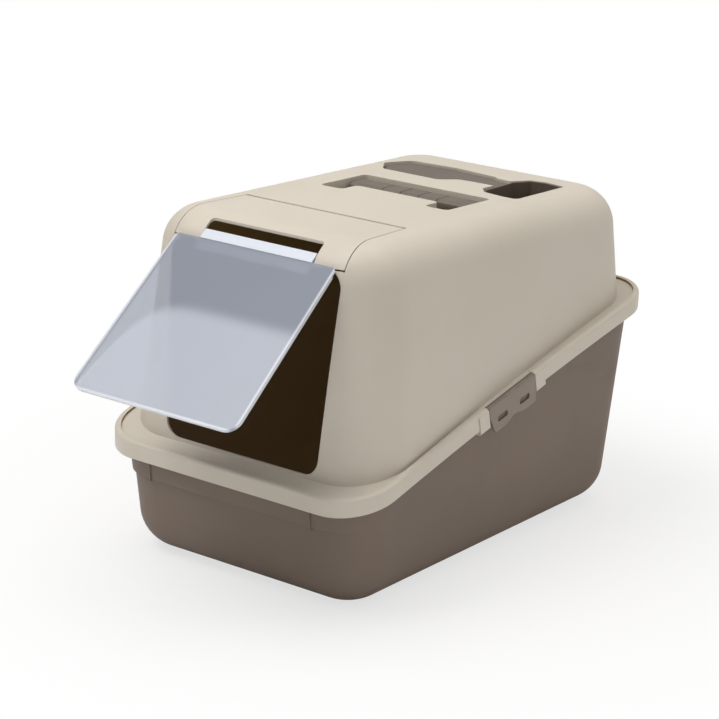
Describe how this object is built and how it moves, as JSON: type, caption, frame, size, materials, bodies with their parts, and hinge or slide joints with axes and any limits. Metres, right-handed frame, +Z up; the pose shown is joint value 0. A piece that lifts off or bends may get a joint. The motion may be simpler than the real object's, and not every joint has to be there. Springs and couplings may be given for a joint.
{
  "type": "covered litter box",
  "caption": "Covered pet litter box: tapered tray with a clipped-on hood, front flap in a lift-up lid, fold-down carry handle and a stowed scoop.",
  "frame": {"origin": "centre of the tray's flat bottom, on the floor", "axes": "+Z up, the door faces -Y, X is the width with the scoop's bowl at +X"},
  "size_m": [0.393, 0.7163, 0.4072],
  "materials": {
    "hood_plastic": "fine matt moulded polypropylene, warm beige",
    "tray_plastic": "matt moulded polypropylene, taupe brown",
    "flap_plastic": "milky translucent polypropylene",
    "hinge_plastic": "white translucent polypropylene",
    "grip_plastic": "satin taupe plastic",
    "filter_plastic": "matt taupe plastic",
    "carbon_felt": "black carbon felt"
  },
  "bodies": {
    "tray": {"tray": "tray_plastic"},
    "hood": {"hood": "hood_plastic", "filter_frame": "filter_plastic", "filter_pad": "carbon_felt"},
    "front_lid": {"front_lid": "hood_plastic"},
    "flap": {"flap": "flap_plastic", "flap_hinge_strip": "hinge_plastic"},
    "carry_handle": {"carry_handle": "grip_plastic"},
    "litter_scoop": {"litter_scoop": "grip_plastic"},
    "clip_left": {"clip_left": "grip_plastic"},
    "clip_right": {"clip_right": "grip_plastic"}
  },
  "joints": [
    {"name": "hood_lift", "type": "slide", "parent": "tray", "child": "hood", "axis": [0, 0, 1], "range_m": [0, 0.3]},
    {"name": "lid_hinge", "type": "hinge", "parent": "hood", "child": "front_lid", "pos_m": [0, -0.1268, 0.40166], "axis": [-1, 0, 0], "range_deg": [0, 95]},
    {"name": "flap_hinge", "type": "hinge", "parent": "front_lid", "child": "flap", "pos_m": [0, -0.2393, 0.3801], "axis": [-1, 0, 0], "range_deg": [-42, 42]},
    {"name": "handle_hinge", "type": "hinge", "parent": "hood", "child": "carry_handle", "pos_m": [0, -0.002, 0.3865], "axis": [1, 0, 0], "range_deg": [0, 90]},
    {"name": "scoop_lift", "type": "slide", "parent": "hood", "child": "litter_scoop", "axis": [0, 0, 1], "range_m": [0, 0.08]},
    {"name": "clip_right_hinge", "type": "hinge", "parent": "hood", "child": "clip_right", "pos_m": [0.1926, -0.0165, 0.20624], "axis": [0, -0.9747, -0.2235], "range_deg": [0, 75]},
    {"name": "clip_left_hinge", "type": "hinge", "parent": "hood", "child": "clip_left", "pos_m": [-0.1926, -0.0165, 0.20624], "axis": [0, 0.9747, 0.2235], "range_deg": [0, 75]}
  ]
}
